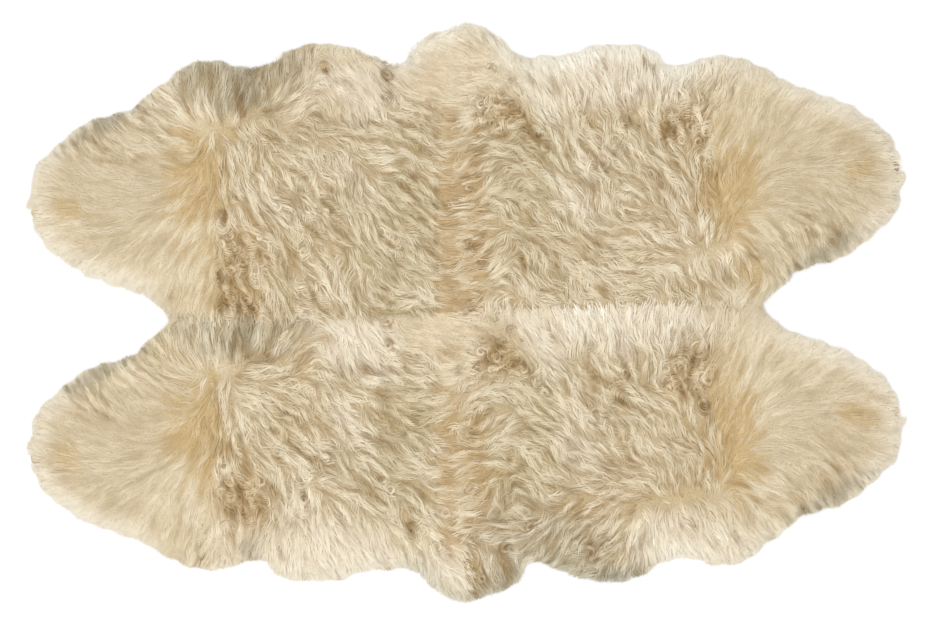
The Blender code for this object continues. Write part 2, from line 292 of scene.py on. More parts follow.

# Patches of colour, some of them painted shade: x, y, half width and half height (px),
# colour, strength and tilt (degrees).
Patch = namedtuple("Patch", "pelts x y rx ry colour strength tilt", defaults=(0,))
PATCHES = table(Patch, {
    "every": (
        (110, 190, 90, 80, "straw", 0.8), (198, 186, 32, 54, "gold", 0.95),
        (70, 211, 16, 12, "gold", 0.6), (95, 284, 62, 15, "ivory", 0.6, -35),
        # The olive row at (105, 124) is painted shade on the lobe's back rim.
        (60, 150, 40, 12, "ivory", 0.3, 45), (105, 124, 50, 8, "olive", 0.5, 32),
        (400, 215, 44, 86, "moss", 0.5), (245, 250, 22, 34, "tan", 0.6),
        (206, 250, 20, 26, "gold", 0.35), (350, 175, 30, 14, "ivory", 0.4, -50),
    ),
    "left": (
        # In these rows olive is painted shade along the back rim, and the thin brown row under the
        # cream patch is a painted shadow of its locks.
        (250, 76, 82, 24, "olive", 0.4, 8), (245, 105, 48, 12, "olive", 0.35),
        (246, 83, 14, 17, "olive", 0.5), (205, 71, 26, 8, "olive", 0.3),
        (357, 88, 46, 32, "ivory", 0.65, -20), (371, 125, 32, 5, "brown", 0.5),
        (326, 68, 8, 6, "tan", 0.6), (328, 91, 8, 6, "tan", 0.6), (440, 68, 38, 46, "peach", 0.85),
        (412, 56, 6, 14, "olive", 0.3), (455, 215, 17, 90, "tan", 0.75),
    ),
    "right": (
        (472, 60, 16, 34, "peach", 0.85), (474, 215, 12, 80, "tan", 0.65),
        (684, 128, 24, 36, "sand", 0.35), (500, 110, 30, 27, "tan", 0.45, -20),
        (508, 84, 12, 10, "tan", 0.55), (508, 58, 10, 14, "ivory", 0.8),
        (543, 98, 14, 34, "ivory", 0.7, 25), (608, 74, 92, 32, "ivory", 0.85),
        # The olive row is painted shade at the front edge beside the right lobe.
        (702, 298, 7, 16, "olive", 0.5),
    ),
    "pelt_back_left": (
        (178, 298, 13, 10, "tan", 0.35),
    ),
    "pelt_back_right": (
        (746, 278, 14, 16, "gold", 0.7),
    ),
    "pelt_front_left": (
        (328, 552, 78, 32, "ivory", 0.65), (445, 575, 34, 26, "ivory", 0.6, -20),
        (250, 548, 12, 10, "olive", 0.5),
    ),
    "pelt_front_right": (
        (685, 538, 58, 26, "ivory", 0.65), (470, 566, 10, 7, "tan", 0.8),
        # The olive row at (618, 574) is painted shade on the rim.
        (497, 570, 16, 18, "brown", 0.45), (618, 574, 22, 9, "olive", 0.6),
        (575, 545, 46, 24, "olive", 0.3, -10), (520, 530, 50, 36, "olive", 0.25),
        (575, 508, 24, 14, "tan", 0.4), (640, 546, 14, 12, "white", 0.6),
    ),
})

# The same for the rim alone. The olive rows are painted shade along the front pelts' rims.
RIM_PATCHES = table(Patch, {
    "every": (
        (80, 255, 100, 62, "ivory", 0.6, -30), (45, 175, 32, 34, "ivory", 0.4),
    ),
    "left": (
        (440, 45, 60, 44, "white", 0.7),
    ),
    "right": (
        (480, 40, 30, 34, "ivory", 0.6), (620, 70, 130, 50, "white", 0.8),
    ),
    "pelt_front_left": (
        (320, 570, 110, 46, "white", 0.2), (440, 588, 50, 36, "olive", 0.25, -20),
    ),
    "pelt_front_right": (
        (500, 585, 50, 34, "olive", 0.45), (590, 566, 60, 28, "olive", 0.5),
        (700, 545, 70, 26, "ivory", 0.7),
    ),
})

# Small brown places between the locks, where the roots show: painted shade in these creases, without a
# colour.
Spot = namedtuple("Spot", "pelts x y rx ry strength tilt", defaults=(0,))
SPOTS = table(Spot, {
    "every": (
        (228, 240, 4, 6, 0.5), (240, 244, 6, 4, 0.5, 30), (247, 256, 5, 5, 0.5),
        (236, 262, 4, 5, 0.4, 40), (255, 268, 5, 4, 0.4), (243, 276, 6, 4, 0.4, -30),
        (219, 203, 3, 8, 0.5, -20), (263, 246, 4, 6, 0.4, 20), (285, 167, 4, 4, 0.5, -30),
        (225, 219, 5, 6, 0.6), (303, 254, 4, 6, 0.6), (382, 234, 4, 5, 0.6), (390, 246, 3, 5, 0.6),
        (212, 198, 2, 12, 0.35, -20), (222, 238, 3, 14, 0.45, -35), (240, 192, 3, 9, 0.4, -35),
        (264, 236, 2, 7, 0.5), (280, 206, 4, 6, 0.45), (340, 193, 9, 3, 0.35, -25),
        (320, 211, 6, 3, 0.4, 20), (331, 213, 3, 5, 0.4), (318, 226, 3, 12, 0.35, 40),
    ),
    "left": (
        (240, 98, 5, 17, 0.6, 10), (265, 110, 9, 6, 0.6), (388, 75, 6, 7, 0.5), (388, 99, 6, 7, 0.5),
        (417, 115, 4, 3, 0.5), (436, 138, 4, 5, 0.6), (445, 205, 4, 6, 0.45, 20),
        (445, 270, 4, 6, 0.45, 20), (416, 176, 5, 3, 0.5, -40), (405, 187, 5, 5, 0.6),
        (437, 206, 3, 5, 0.5), (437, 238, 3, 6, 0.5), (418, 245, 3, 8, 0.5, 40), (436, 268, 3, 6, 0.5),
        (458, 125, 5, 8, 0.5),
    ),
    "right": (
        (492, 104, 5, 3, 0.25, 20), (506, 122, 6, 3, 0.25, -30), (511, 104, 3, 5, 0.25),
        (486, 120, 5, 3, 0.25, 10), (478, 103, 4, 8, 0.3), (515, 122, 4, 8, 0.25),
        (522, 95, 4, 3, 0.5), (468, 188, 8, 6, 0.5), (469, 244, 8, 6, 0.6), (489, 158, 4, 3, 0.5),
        (521, 191, 4, 6, 0.6), (509, 214, 4, 7, 0.6), (520, 222, 4, 4, 0.5),
        (530, 265, 6, 5, 0.6, -30), (508, 277, 4, 6, 0.5), (520, 283, 4, 4, 0.5),
    ),
    "pelt_back_left": (
        (173, 297, 6, 5, 0.3),
    ),
    "pelt_front_left": (
        (412, 531, 6, 6, 0.45), (438, 548, 5, 5, 0.4), (447, 512, 7, 3, 0.4, -20),
    ),
    "pelt_front_right": (
        (530, 526, 7, 3, 0.45, -20), (510, 548, 8, 3, 0.45, -20), (472, 540, 8, 5, 0.4, 30),
        (550, 510, 6, 6, 0.5), (528, 510, 5, 6, 0.5), (590, 550, 12, 9, 0.6, -40),
        (606, 548, 5, 8, 0.5),
    ),
})

# ---------------------------------------------------------------- the wool's make
WARM_SHADE = np.array([0.80, 1.0, 1.25])   # shaded wool is yellower than lit wool
TIP_SHARE = 0.16              # a tip's width, as a share of the root's
FLOOR_CLEAR = 0.0018
COURSE_STEPS = 16             # the steps that a lock's course is traced with
WAVE_SWING = math.radians(64)
WAVE_LENGTH = 0.031
WAVE_FROM = 0.15              # the least wave that bends a lock
WAVY_BOOST = 0.18             # wool is wavy where its wave and this pass a half
STRAY_SHARE = 0.045           # of all strands, those that leave their lock
STRAY_WANDER = 0.006          # how far a stray's tip strays
WANDER = 0.0011               # how far any other tip strays
RIM_FACING = 0.35             # how much of a heading at the rim points outward, at least
LOCKS_BEYOND = 0.02           # locks also begin this far beyond the rim
STRANDS_INSIDE = 0.002        # and strands begin this far inside it
SEAM_MIX = 0.006              # how far the pelts' wool mixes over a seam
SEAM_OVERHANG = 0.011         # how far tips reach over the long seam

# Sizes in metres, angles in degrees. "closing" is how far strands draw together
# towards their lock's tip, "own" how far a strand keeps its own shading, "root_light"
# how light a root stays under the painted shade towards it, "valley" how dark the
# painted shade on a lock's sides is, "streak" how far the streaks that run with the
# wool lighten and darken it, partly as its own tone and partly as painted shade, and
# "rough" how much more so where smooth wool is a little wavy, or where wavy wool curls.
Wool = namedtuple(
    "Wool",
    "name lock_step lock_stretch strand_step length segments width closing bend"
    " depth crest roll roll_spread own root_light valley tone lock_tone streak rough",
)
SMOOTH_WOOL = Wool(
    "smooth", lock_step=0.014, lock_stretch=1.8, strand_step=0.0049, length=0.036,
    segments=5, width=0.0024, closing=0.26, bend=12, depth=0.0040, crest=0.0008,
    roll=8, roll_spread=6, own=0.28, root_light=0.92, valley=0.04, tone=0.015,
    lock_tone=0.022, streak=0.029, rough=2.6)
WAVY_WOOL = Wool(
    "wavy", lock_step=0.0165, lock_stretch=2.0, strand_step=0.0056, length=0.048,
    segments=7, width=0.0028, closing=0.38, bend=9, depth=0.0068, crest=0.0026,
    roll=28, roll_spread=7, own=0.45, root_light=0.78, valley=0.17, tone=0.030,
    lock_tone=0.040, streak=0.074, rough=1.2)

RINGLET_STRANDS = 20
RINGLET_STEPS = 14
RINGLET_LIFT = 0.0020
RINGLET_DEPTH = 0.005
RINGLET_WIDTH = 0.0021
RINGLET_ROLL = 22
FRINGE_STEP = 0.0036
FRINGE_DEPTH = 0.012          # from the rim to the innermost roots
FRINGE_BEYOND = 0.005
FRINGE_LENGTH = 0.024
FRINGE_WIDTH = 0.0011

# How far a layer's edge is drawn in from the rim, how much farther at the bare tip
# of the lobe, and how far off the seams it stops.
Edge = namedtuple("Edge", "inset at_nub off_seam")
OUTLINE_STEP = 0.006
UNDERCOAT_EDGE = Edge(0.004, 0.016, 0.002)
HIDE_INSET = 0.022            # at the bare tip, the hide comes out almost to the rim
HIDE_EDGE = Edge(HIDE_INSET, -0.97 * HIDE_INSET, 0.0)
UNDERCOAT_STEP = 0.016
UNDERCOAT_DROP = (0.0018, 0.0040)   # below smooth wool, and below wavy wool
HIDE_THICKNESS = 0.0012
HIDE_LIFT = 0.0006            # the seams' thread lies under the hides
HIDE_TOP = HIDE_LIFT + HIDE_THICKNESS
NUB_PX = (31, 213)            # the bare tip of the outer lobe, in the back left pelt
NUB_REACH = 0.020
NUB_CLEAR = {"tips": 0.012, "strands": 0.015, "fringe": 0.020}   # how far off it hairs stay

THREAD_RADIUS = 0.00028
THREAD_SIDES = 5
STITCH_STEP = 0.0045
STITCH_REACH = 0.0035
LONG_SEAM = NOTCH_REACH - 0.03   # how far the threads run from the rug's middle
SHORT_SEAM = 0.570
SHORT_SEAM_START = 0.006
SEAMS = {
    "long_seam_thread": ((-LONG_SEAM, -LONG_SEAM * SEAM_SLOPE), (LONG_SEAM, LONG_SEAM * SEAM_SLOPE)),
    "back_seam_thread": ((0, SHORT_SEAM_START), (0, SHORT_SEAM)),
    "front_seam_thread": ((0, -SHORT_SEAM_START), (0, -SHORT_SEAM)),
}

# ---------------------------------------------------------------- the stage
FLOOR_REACH = 6.0
SKY_LIGHT = 0.88
SOFTBOX_PLACE = (-0.7, -0.6, 6.0)
SOFTBOX_WIDTH = 3.0
SOFTBOX_POWER = 150
CAMERA_HEIGHT = 12.0
SENSOR_WIDTH = 36.0

# ---------------------------------------------------------------- the grid
GRID = 0.004
GRID_X = np.arange(-0.980, 0.9801, GRID)
GRID_Y = np.arange(-0.672, 0.6721, GRID)
MESH_X, MESH_Y = np.meshgrid(GRID_X, GRID_Y)
MESH = np.stack([MESH_X, MESH_Y], axis=2)


def from_photo(x, y):
    """The place in metres of a pixel of the photo."""
    return (x - ORIGIN_PX[0]) * PX, (ORIGIN_PX[1] - y) * PX


def linear(colour):
    """The linear value of an 8-bit display colour."""
    share = np.array(colour) / 255.0
    return np.where(share < 0.04045, share / 12.92, ((share + 0.055) / 1.055) ** 2.4)


def shade(name):
    """The linear value of a colour of the table."""
    return linear(COLOURS[name])


def mixed(colour, other, share):
    """The colour with a share of the other one in it."""
    share = share[..., None]
    return colour * (1 - share) + other * share


def smoothstep(low, high, value):
    share = np.clip((value - low) / (high - low), 0.0, 1.0)
    return share * share * (3.0 - 2.0 * share)


def unit(vectors):
    """The vectors with a length of one."""
    return vectors / np.maximum(np.linalg.norm(vectors, axis=-1, keepdims=True), 1e-9)


def pointing(angle):
    """Flat vectors with a length of one that point at angles."""
    return np.stack([np.cos(angle), np.sin(angle)], axis=-1)


def between(field, u, v, eased=lambda share: share):
    """A grid's values between its points, from the four points round each place."""
    column = u.astype(int)
    row = v.astype(int)
    across = eased(u - column)
    up = eased(v - row)
    if field.ndim == 3:
        across = across[..., None]
        up = up[..., None]
    near = field[row, column] * (1 - across) + field[row, column + 1] * across
    far = field[row + 1, column] * (1 - across) + field[row + 1, column + 1] * across
    return near * (1 - up) + far * up


def sample(field, points):
    """A grid's values at points, by their x and y."""
    u = np.clip((points[..., 0] - GRID_X[0]) / GRID, 0.0, len(GRID_X) - 1.001)
    v = np.clip((points[..., 1] - GRID_Y[0]) / GRID, 0.0, len(GRID_Y) - 1.001)
    return between(field, u, v)


def bell(half, spread):
    """Bell-shaped weights for the steps from -half to half, which add up to one."""
    weights = np.exp(-((np.arange(-half, half + 1) / spread) ** 2) / 2)
    return weights / weights.sum()


def blurred(field, reach):
    """The grid's values, smoothed over about the given number of points."""
    weights = bell(3 * reach, reach)
    padded = np.pad(field, 3 * reach, mode="edge")
    rows = np.apply_along_axis(np.convolve, 1, padded, weights, "valid")
    return np.apply_along_axis(np.convolve, 0, rows, weights, "valid")


def cloudy(rng, step):
    """A smooth random grid, about -1 to 1, with lumps of the given size."""
    columns = int((GRID_X[-1] - GRID_X[0]) / step) + 4
    rows = int((GRID_Y[-1] - GRID_Y[0]) / step) + 4
    knots = rng.uniform(-1.0, 1.0, (rows, columns))
    u = (MESH_X - GRID_X[0]) / step + 1
    v = (MESH_Y - GRID_Y[0]) / step + 1
    return between(knots, u, v, lambda share: smoothstep(0, 1, share))


# ---------------------------------------------------------------- the CAD's shape
def bottom_loop(node):
    """The corners of a pelt's flat underside, in order round it."""
    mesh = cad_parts[node].data
    edges = set()
    for polygon in mesh.polygons:
        corners = [mesh.vertices[i].co for i in polygon.vertices]
        if max(corner.z for corner in corners) > 1e-5:
            continue
        keys = [(round(corner.x, 5), round(corner.y, 5)) for corner in corners]
        for start, end in zip(keys, keys[1:] + keys[:1]):
            if (end, start) in edges:
                edges.remove((end, start))
            else:
                edges.add((start, end))
    following = dict(edges)
    first = min(following)
    loop = [first]
    while following[loop[-1]] != first:
        loop.append(following[loop[-1]])
    return np.array(loop[::-1])


def evenly(loop, step):
    """The closed loop again, with points at an even step along it."""
    closed = np.vstack([loop, loop[:1]])
    run = np.concatenate([[0], np.cumsum(np.hypot(*np.diff(closed, axis=0).T))])
    stops = np.arange(0, run[-1], step)
    return np.column_stack([np.interp(stops, run, closed[:, i]) for i in (0, 1)])


def behind_seam(points):
    """How far behind the long seam points are."""
    return points[..., 1] - SEAM_SLOPE * points[..., 0]


def on_seam(points):
    """Whether points of a pelt's outline are on one of the two seams."""
    from_middle = np.abs(points[:, 0])
    on_long = (np.abs(behind_seam(points)) < 0.002) & (from_middle < NOTCH_REACH)
    return on_long | (from_middle < 0.002)


def tree_of(points):
    tree = KDTree(len(points))
    for index, point in enumerate(points):
        tree.insert((point[0], point[1], 0), index)
    tree.balance()
    return tree


def cad_tree():
    """All pelts of the CAD in one tree, for rays."""
    corners = []
    faces = []
    for pelt in PELTS:
        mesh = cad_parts[pelt.node].data
        first = len(corners)
        corners += [vertex.co.copy() for vertex in mesh.vertices]
        faces += [[first + i for i in polygon.vertices] for polygon in mesh.polygons]
    return BVHTree.FromPolygons(corners, faces)


def survey():
    """The top of the CAD's wool and the distance from the rim, over the grid."""
    tree = cad_tree()
    rim = np.vstack([evenly(bottom_loop(pelt.node), 0.003) for pelt in PELTS])
    rim_tree = tree_of(rim[~on_seam(rim)])
    top = np.zeros(MESH_X.shape)
    reach = np.zeros(MESH_X.shape)
    down = Vector((0, 0, -1))
    for place in np.ndindex(MESH_X.shape):
        x, y = MESH[place]
        hit = tree.ray_cast(Vector((x, y, 0.2)), down)[0]
        reach[place] = -rim_tree.find((x, y, 0))[2]
        if hit is not None and hit.z > 0.001:
            top[place] = hit.z
            reach[place] *= -1
    covered = (top > 0).astype(float)
    seam_gap = (top == 0) & (blurred(covered, 1) > 0.52)
    top[seam_gap] = blurred(top, 1)[seam_gap] / blurred(covered, 1)[seam_gap]
    reach[seam_gap] *= -1
    return blurred(np.maximum(top, 0.003), 1), reach


def without_seams(top):
    """The wool's top with the seams' hollows filled by the wool that lies over them."""
    level = blurred(top, 9)
    away = np.minimum(np.abs(behind_seam(MESH)), np.abs(MESH_X))
    near = 0.8 * np.exp(-((away / 0.035) ** 2)) * smoothstep(0.01, 0.06, RIM_REACH)
    return top + near * np.maximum(level - top, 0)


TOP, RIM_REACH = survey()
TOP = without_seams(TOP)
SLOPE_Y, SLOPE_X = np.gradient(blurred(TOP, 2), GRID)
EASED_REACH = blurred(RIM_REACH, 2)     # without the locks of the CAD's rim
OUTWARD = np.stack(np.gradient(-EASED_REACH, GRID)[::-1], axis=2)


# ---------------------------------------------------------------- fields of a pelt
Fields = namedtuple("Fields", "flow wave turn colour streak spot")


def rows_for(pelt, rows):
    """The rows of a table that are for the pelt."""
    return [row for row in rows if row.pelts in ("every", pelt.side, pelt.node)]


def places_on(pelt, pelts, x, y):
    """Where a table's place is on the pelt, in metres, and whether it is turned."""
    turned = pelts == "every" and pelt.side == "right"
    if turned:
        x = 2 * TURN_PX[0] - x
        y = 2 * TURN_PX[1] - y
    shared = SHARED_X[0] < x < SHARED_X[1]
    if pelts == pelt.node:
        return [from_photo(x, y)], turned
    if shared and y > OWN_FROM[pelt.end]:
        return [], turned
    if pelt.end == "front":
        return [from_photo(x, y + FRONT_DOWN)], turned
    if shared and REPEATED_Y[0] < y < REPEATED_Y[1]:
        return [from_photo(x, y), from_photo(x, y + REPEAT_DOWN)], turned
    return [from_photo(x, y)], turned


def from_nub(pelt, points):
    """How far points are from the pelt's bare tip."""
    nub = places_on(pelt, "every", *NUB_PX)[0][0]
    return np.hypot(*(points - nub).T)


def nearness(place, reach):
    """The squared distance of the grid's points from a place, in squared reaches."""
    return ((MESH - place) ** 2).sum(axis=2) / (reach * PX) ** 2


def comb_fields(pelt, rng):
    """Which way the pelt's wool lies, and how wavy it is, over the grid."""
    flow = np.zeros(MESH.shape)
    wave = np.zeros(MESH_X.shape)
    total = np.zeros(MESH_X.shape)
    for comb_set in rows_for(pelt, COMB_SETS):
        for x, y, heading in comb_set.rows:
            places, turned = places_on(pelt, comb_set.pelts, x, y)
            for place in places:
                weight = comb_set.weight / (1 + nearness(place, comb_set.reach)) ** 2.5
                flow += weight[..., None] * pointing(math.radians(heading + 180 * turned))
                wave += weight * comb_set.wave
                total += weight
    wave /= total
    angle = np.arctan2(flow[..., 1], flow[..., 0])
    angle += (0.2 + 0.8 * wave) * (0.50 * cloudy(rng, 0.060) + 0.70 * cloudy(rng, 0.030))
    flow = pointing(angle)
    facing = (flow * OUTWARD).sum(axis=2)
    need = np.maximum(RIM_FACING - facing, 0) * (1 - smoothstep(0.004, 0.022, RIM_REACH))
    return unit(flow + OUTWARD * need[..., None]), wave


def streaks(flow, rng, lump, reach):
    """A random grid drawn out along the flow, with a spread of one."""
    grain = cloudy(rng, lump)
    total = grain.copy()
    for way in (1, -1):
        place = MESH
        for _ in range(int(reach / GRID)):
            place = place + way * GRID * sample(flow, place)
            total += sample(grain, place)
    inside = RIM_REACH > 0
    return (total - total[inside].mean()) / total[inside].std()


def curl_field(pelt):
    """How far a lock turns along its length, over the grid, in radians."""
    turn = np.zeros(MESH_X.shape)
    for curl in rows_for(pelt, CURLS):
        for place in places_on(pelt, curl.pelts, curl.x, curl.y)[0]:
            bump = np.exp(-(nearness(place, curl.reach) ** 1.5))
            turn = np.maximum(turn, math.radians(curl.turn) * bump)
    return turn * smoothstep(0.004, 0.020, np.abs(behind_seam(MESH)))


def patch_distance(pelt, patch):
    """How far each grid point is from a patch's middle; 1 is on its edge."""
    nearest = np.full(MESH_X.shape, 99.0)
    tilt = math.radians(patch.tilt)
    for place in places_on(pelt, patch.pelts, patch.x, patch.y)[0]:
        east = MESH_X - place[0]
        north = MESH_Y - place[1]
        along = (east * math.cos(tilt) + north * math.sin(tilt)) / (patch.rx * PX)
        across = (north * math.cos(tilt) - east * math.sin(tilt)) / (patch.ry * PX)
        nearest = np.minimum(nearest, np.sqrt(along**2 + across**2))
    return nearest


def colour_field(pelt, streak, rng):
    """The wool's colour over the grid, painted patch by patch."""
    share = np.clip(0.5 + 0.45 * cloudy(rng, 0.09) + 0.15 * streak, 0, 1)
    colour = mixed(shade("sand"), shade("cream"), share)
    for patch in rows_for(pelt, PATCHES):
        ragged = 0.16 * streak + 0.30 * cloudy(rng, 0.05)
        away = patch_distance(pelt, patch) + ragged
        weight = patch.strength * (1 - smoothstep(0.45, 1.35, away))
        colour = mixed(colour, shade(patch.colour), weight)
    edge = 1 - smoothstep(0.008, 0.055, RIM_REACH)
    for patch in rows_for(pelt, RIM_PATCHES):
        away = patch_distance(pelt, patch) + 0.12 * streak
        weight = edge * patch.strength * (1 - smoothstep(0.6, 1.2, away))
        colour = mixed(colour, shade(patch.colour), weight)
    return colour


def spot_field(pelt, streak):
    """How dark the painted shade in the creases between the locks is, over the grid."""
    dark = np.zeros(MESH_X.shape)
    for spot in rows_for(pelt, SPOTS):
        away = patch_distance(pelt, spot) + 0.28 * streak
        dark = np.maximum(dark, spot.strength * (1 - smoothstep(0.2, 1.3, away)))
    return dark


# ---------------------------------------------------------------- locks and strands
def scattered(rng, step, jitter=0.42):
    """Points over the whole grid on staggered rows, each a little off its place."""
    points = []
    for index, y in enumerate(np.arange(GRID_Y[0], GRID_Y[-1], step * 0.866)):
        x = np.arange(GRID_X[0] + (index % 2) * step / 2, GRID_X[-1], step)
        points.append(np.column_stack([x, np.full(len(x), y)]))
    points = np.vstack(points)
    return points + rng.uniform(-jitter * step, jitter * step, points.shape)


def of_pelt(pelt, points, rng, mix=0.0):
    """Which points are the pelt's; along the seams the pelts' wool mixes a little."""
    x = points[:, 0] + rng.normal(0, 1, len(points)) * mix
    y = points[:, 1] + rng.normal(0, 1, len(points)) * mix
    behind = y > SEAM_SLOPE * x
    right = x > 0
    return (behind == (pelt.end == "back")) & (right == (pelt.side == "right"))


def leftward(way, offset):
    """How far offsets reach to the left of a heading."""
    return offset[..., 1] * way[..., 0] - offset[..., 0] * way[..., 1]


def lock_of(root, lock_root, flow, stretch):
    """Each strand's lock: the nearest one, where locks are long in the flow."""
    tree = tree_of(lock_root)
    count = min(7, len(lock_root))
    near = np.array([[hit[1] for hit in tree.find_n((x, y, 0), count)] for x, y in root])
    way = sample(flow, root)[:, None]
    away = lock_root[near] - root[:, None]
    along = (away * way).sum(axis=2)
    nearest = np.argmin((along / stretch) ** 2 + leftward(way, away) ** 2, axis=1)
    return near[np.arange(len(root)), nearest]


def traced(start, fields, wool, rng):
    """The course of each lock from its root: points, locks x steps x 2."""
    count = len(start)
    step = wool.length / COURSE_STEPS
    lean = np.radians(rng.normal(0, wool.bend, count))
    drift = sample(cloudy(rng, 0.05), start)
    phase = 2 * math.pi * drift + rng.normal(0, 0.6, count)
    wavelength = WAVE_LENGTH * rng.uniform(0.8, 1.9, count)
    swing = WAVE_SWING * np.maximum(sample(fields.wave, start) - WAVE_FROM, 0.0)
    swing *= rng.uniform(0.4, 1.2, count)
    turning = sample(fields.turn, start) * rng.choice([-1, 1], count)
    course = [start]
    for index in range(COURSE_STEPS):
        run = (index + 0.5) * step
        way = sample(fields.flow, course[-1])
        angle = np.arctan2(way[:, 1], way[:, 0]) + lean
        angle += swing * np.sin(2 * math.pi * run / wavelength + phase)
        angle += turning * (run / wool.length - 0.3)
        course.append(course[-1] + step * pointing(angle))
    return np.stack(course, axis=1)


def along_course(course, lock, share):
    """The point at a share of its lock's course, for each strand and station."""
    position = np.clip(share * COURSE_STEPS, 0, COURSE_STEPS - 1e-6)
    index = position.astype(int)
    rest = (position - index)[..., None]
    lock = lock[:, None]
    return course[lock, index] * (1 - rest) + course[lock, index + 1] * rest


def strand_paths(pelt, root, lock, course, stray, wool, rng):
    """Each strand runs beside its lock's course and closes in on it."""
    count = len(root)
    stations = np.linspace(0, 1, wool.segments + 1)
    lock_length = np.clip(rng.normal(0.88, 0.12, len(course)), 0.5, 1.0)[lock]
    length = lock_length * np.clip(rng.normal(0.97, 0.10, count), 0.6, 1.0)
    offset = root - course[lock, 0]
    closing = wool.closing * np.where(stray, 0.0, rng.uniform(0.75, 1.2, count))
    wander = rng.normal(0, 1, (count, 2)) * np.where(stray, STRAY_WANDER, WANDER)[:, None]
    overhang = rng.uniform(0.0, 0.003, count)
    seam_overhang = SEAM_OVERHANG * rng.uniform(0.2, 1.8, count)
    start_reach = sample(EASED_REACH, root)
    seam_side = -1 if pelt.end == "back" else 1
    for _ in range(4):
        share = length[:, None] * stations
        path = along_course(course, lock, share)
        path += offset[:, None] * (1 - closing[:, None, None] * share[..., None] ** 1.2)
        path += wander[:, None] * share[..., None] ** 1.5
        tip = path[:, -1]
        tip_reach = sample(EASED_REACH, tip)
        cut = seam_side * behind_seam(tip) > seam_overhang
        cut &= np.abs(tip[:, 0]) < NOTCH_REACH
        cut |= from_nub(pelt, tip) < NUB_CLEAR["tips"]
        shrink = (start_reach + overhang) / np.maximum(start_reach - tip_reach, 1e-4)
        shrink = np.where(cut, 0.8, np.clip(shrink, 0.1, 0.97))
        length = np.where(cut | (tip_reach < -overhang), length * shrink, length)
    return path, share, offset


def strand_heights(path, reached, depth, lift):
    """Strands start deep in the wool and their tips lie on top of it."""
    top = sample(TOP, path)
    depth = np.minimum(depth, 0.75 * top)
    height = top - depth * (1 - reached) ** 1.6
    height += lift[:, None] * smoothstep(0.004, 0.030, top)
    return np.maximum(height, FLOOR_CLEAR + 0.002 * reached)


def strand_frame(points, roll, own):
    """Unit vectors across each strand, rolled, and the normals that shade it."""
    tangent = unit(np.gradient(points, axis=1))
    slope_x = sample(SLOPE_X, points)
    slope_y = sample(SLOPE_Y, points)
    ground = unit(np.stack([-slope_x, -slope_y, np.ones_like(slope_x)], axis=2))
    side = unit(np.cross(tangent, ground))
    up = np.cross(side, tangent)
    roll = roll[:, None, None]
    rolled = side * np.cos(roll) + up * np.sin(roll)
    return rolled, unit(np.cross(rolled, tangent) * own + ground * (1 - own))


def paired(left, right, tip):
    """Values of the strands' corners: left and right in turn, and the tip's last."""
    pairs = np.stack([left, right], axis=2)
    pairs = pairs.reshape(len(left), -1, left.shape[2])
    return np.concatenate([pairs, tip], axis=1)


def strand_mesh(name, points, side, normal, width, tint):
    """One mesh of flat tapering strands, with a tint and a place to bake each."""
    count, stations = points.shape[:2]
    share = np.linspace(0, 1, stations)
    taper = (1 - (1 - TIP_SHARE) * share**1.7)[None, :, None] * width[:, None, None] / 2
    pairs = stations - 1
    reach = side * taper
    corners = paired((points - reach)[:, :pairs], (points + reach)[:, :pairs], points[:, -1:])
    tints = paired(tint[:, :pairs], tint[:, :pairs], tint[:, -1:])
    normals = paired(normal[:, :pairs], normal[:, :pairs], normal[:, -1:])
    per_strand = corners.shape[1]

    quads = np.arange(pairs - 1)[:, None] * 2 + np.array([0, 1, 3, 2])
    tip = np.array([2 * pairs - 2, 2 * pairs - 1, 2 * pairs])
    pattern = np.concatenate([quads.ravel(), tip])
    loops = (np.arange(count)[:, None] * per_strand + pattern).ravel()
    sizes = np.tile([4] * (pairs - 1) + [3], count)
    starts = np.concatenate([[0], np.cumsum(sizes)[:-1]])

    mesh = bpy.data.meshes.new(name)
    mesh.vertices.add(count * per_strand)
    mesh.vertices.foreach_set("co", corners.astype(np.float32).ravel())
    mesh.loops.add(len(loops))
    mesh.loops.foreach_set("vertex_index", loops.astype(np.int32))
    mesh.polygons.add(len(sizes))
    mesh.polygons.foreach_set("loop_start", starts.astype(np.int32))
    mesh.update(calc_edges=True)
    mesh.shade_smooth()
    mesh.normals_split_custom_set_from_vertices(normals.reshape(-1, 3).astype(np.float32))
    add_tint(mesh, tints.reshape(-1, 3))

    rows = math.ceil(math.sqrt(count / 2))
    columns = math.ceil(count / rows)
    corner_u = np.concatenate([np.tile([0.12, 0.88], pairs), [0.5]])
    corner_v = 0.06 + 0.88 * np.concatenate([np.repeat(share[:pairs], 2), [1.0]])
    u = ((np.arange(count) % columns)[:, None] + corner_u) / columns
    v = ((np.arange(count) // columns)[:, None] + corner_v) / rows
    places = np.stack([u, v], axis=2)[:, pattern].astype(np.float32)
    mesh.uv_layers.new(name="OFBake").data.foreach_set("uv", places.ravel())
    return mesh


def add_tint(mesh, tint):
    """Keeps a colour for each corner point, which the materials read."""
    colours = mesh.color_attributes.new("tint", "FLOAT_COLOR", "POINT")
    with_alpha = np.concatenate([tint, np.ones((len(tint), 1))], axis=1)
    colours.data.foreach_set("color", with_alpha.astype(np.float32).ravel())


def add_strands(name, path, height, roll, own, width, tint):
    """Flat strands along their paths, as one piece."""
    points = np.concatenate([path, height[..., None]], axis=2)
    side, normal = strand_frame(points, roll, own)
    mesh = strand_mesh(name, points, side, normal, width, tint)
    return add_piece(name, mesh, wool_strands)


def roughness(points, fields, wool):
    """How strong the wool's lights and darks are: less where it lies well combed."""
    wave = sample(fields.wave, points)
    if wool is SMOOTH_WOOL:
        return 1 + wool.rough * smoothstep(0.18, 0.34, wave)
    combed = 0.70 * (1 - smoothstep(0.32, 0.52, wave))
    return 1 - combed + wool.rough * smoothstep(0.8, 3.6, sample(fields.turn, points))


